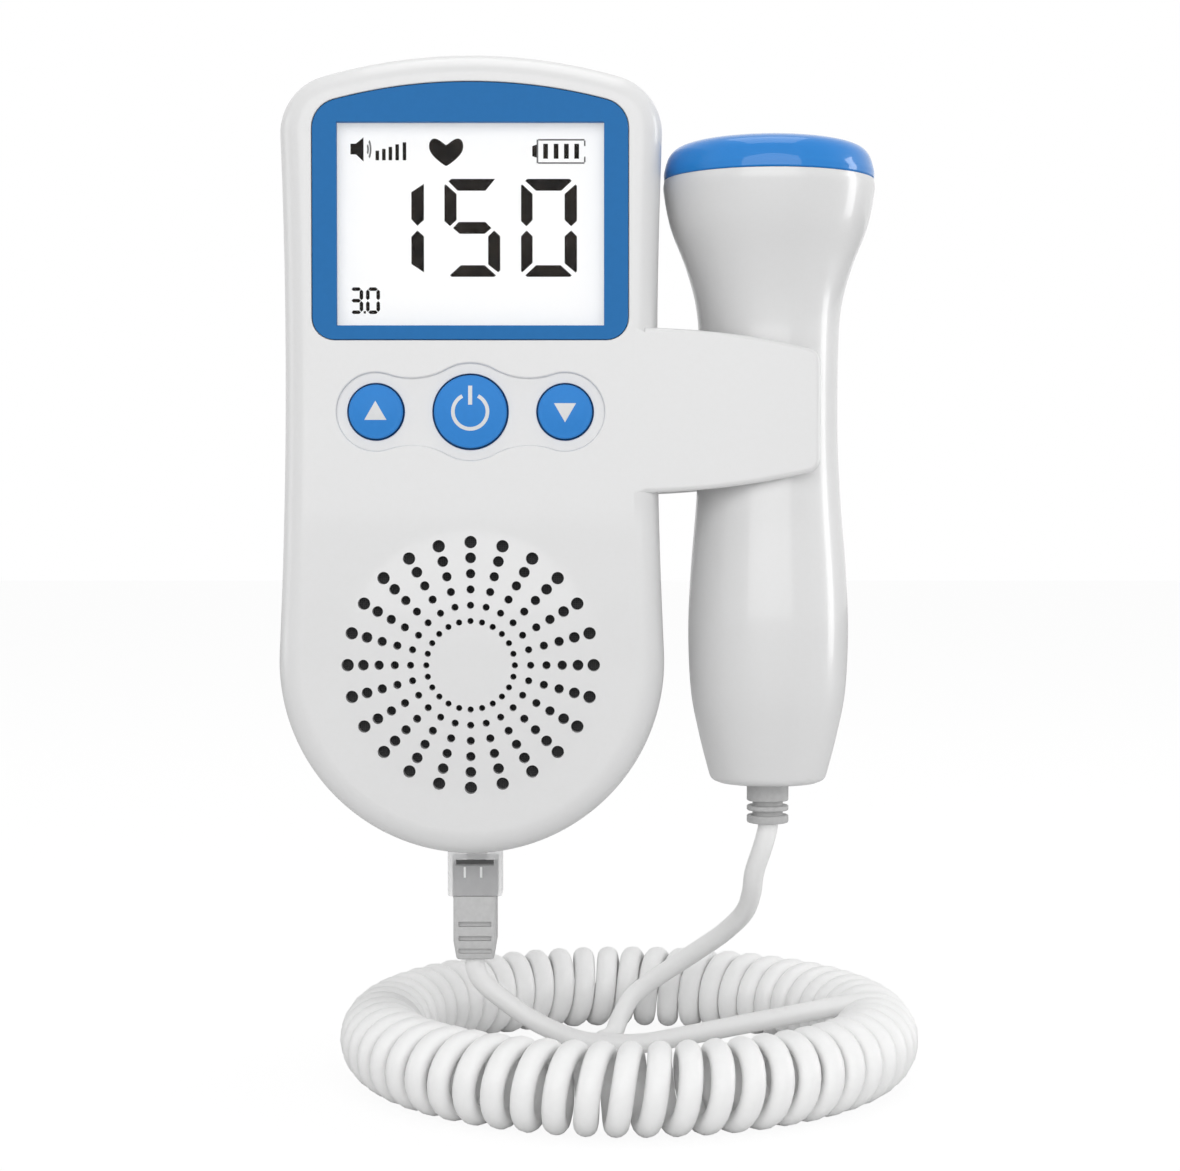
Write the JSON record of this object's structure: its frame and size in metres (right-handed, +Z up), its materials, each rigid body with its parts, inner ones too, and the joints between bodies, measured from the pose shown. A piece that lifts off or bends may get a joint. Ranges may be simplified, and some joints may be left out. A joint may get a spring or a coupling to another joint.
{
  "type": "fetal doppler monitor",
  "caption": "Hand-held fetal heart monitor: white case with a display, keys and a speaker, a side clip that holds the probe, and a curly cord from a modular plug to the probe.",
  "frame": {"origin": "on the flat back of the case above the battery cover, at the case's middle plane", "axes": "+Z up along the case, +Y out of the back, +X towards the probe; the display faces -Y"},
  "size_m": [0.1103, 0.1014, 0.1768],
  "materials": {
    "case_white": "satin moulded ABS",
    "blue_frame": "satin blue print",
    "clear_lens": "clear acrylic",
    "lcd_white": "white display with dark segments",
    "light_guide": "acrylic light guide",
    "holder_grey": "moulded frame",
    "blue_key": "satin blue moulding with white printed signs",
    "plunger_dark": "moulded nylon",
    "switch_metal": "stamped cover",
    "board_green": "solder mask",
    "chip_black": "moulded packages",
    "screw_steel": "zinc plated",
    "cloth_black": "woven dust cloth",
    "foam_black": "foam ring",
    "basket_steel": "pressed sheet",
    "cone_paper": "coated paper",
    "magnet_metal": "nickel plated",
    "cell_wrap": "printed sleeve over steel",
    "contact_steel": "nickel plated spring steel",
    "socket_dark": "moulded nylon",
    "gold_contact": "gold plated",
    "plug_clear": "clear polycarbonate",
    "boot_grey": "soft moulded sleeve",
    "cord_white": "soft sheath",
    "probe_white": "glossy moulded ABS",
    "blue_cap": "glossy blue moulding",
    "carrier_ivory": "moulded carrier",
    "ceramic": "silvered ceramic",
    "relief_grey": "soft moulded collar"
  },
  "bodies": {
    "main_unit": {"front_cover": "case_white", "rear_cover": "case_white", "display_bezel": "blue_frame", "display_lens": "clear_lens", "lcd_panel": "lcd_white", "lcd_backlight": "light_guide", "lcd_holder": "holder_grey", "key_switches": "switch_metal", "main_board": "board_green", "board_chips": "chip_black", "board_screws": "screw_steel", "case_screws": "screw_steel", "speaker_cloth": "cloth_black", "speaker_gasket": "foam_black", "speaker_frame": "basket_steel", "speaker_cone": "cone_paper", "speaker_magnet": "magnet_metal", "battery_cells": "cell_wrap", "battery_springs": "contact_steel", "battery_plates": "contact_steel", "plug_socket": "socket_dark", "socket_pins": "gold_contact", "cord_lead_unit": "cord_white", "cord_curls": "cord_white", "cord_lead_probe": "cord_white"},
    "up_key": {"key_up": "blue_key", "plunger_up": "plunger_dark"},
    "power_key": {"key_power": "blue_key", "plunger_power": "plunger_dark"},
    "down_key": {"key_down": "blue_key", "plunger_down": "plunger_dark"},
    "battery_door": {"battery_cover": "case_white"},
    "plug": {"plug_housing": "plug_clear", "plug_contacts": "gold_contact", "cord_boot": "boot_grey"},
    "latch": {"plug_latch": "plug_clear"},
    "probe": {"probe_front_shell": "probe_white", "probe_back_shell": "probe_white", "probe_head_cap": "blue_cap", "probe_carrier": "carrier_ivory", "probe_crystals": "ceramic", "probe_board": "board_green", "probe_strain_relief": "relief_grey"}
  },
  "joints": [
    {"name": "up_key_press", "type": "slide", "parent": "main_unit", "child": "up_key", "axis": [0, 1, 0], "range_m": [0, 0.0006], "stiffness_N_per_m": 400},
    {"name": "power_key_press", "type": "slide", "parent": "main_unit", "child": "power_key", "axis": [0, 1, 0], "range_m": [0, 0.0006], "stiffness_N_per_m": 400},
    {"name": "down_key_press", "type": "slide", "parent": "main_unit", "child": "down_key", "axis": [0, 1, 0], "range_m": [0, 0.0006], "stiffness_N_per_m": 400},
    {"name": "battery_door_hinge", "type": "hinge", "parent": "main_unit", "child": "battery_door", "pos_m": [0, -0.0002, -0.02085], "axis": [1, 0, 0], "range_deg": [0, 50]},
    {"name": "plug_pull", "type": "slide", "parent": "main_unit", "child": "plug", "axis": [0, 0, -1], "range_m": [0, 0.012], "deforming": ["cord_lead_unit"]},
    {"name": "latch_press", "type": "hinge", "parent": "plug", "child": "latch", "pos_m": [0, -0.01305, -0.0959], "axis": [1, 0, 0], "range_deg": [-5.5, 0], "stiffness_Nm_per_rad": 0.02},
    {"name": "probe_pull", "type": "slide", "parent": "main_unit", "child": "probe", "axis": [1, 0, 0], "range_m": [0, 0.04], "deforming": ["cord_lead_probe"]}
  ]
}
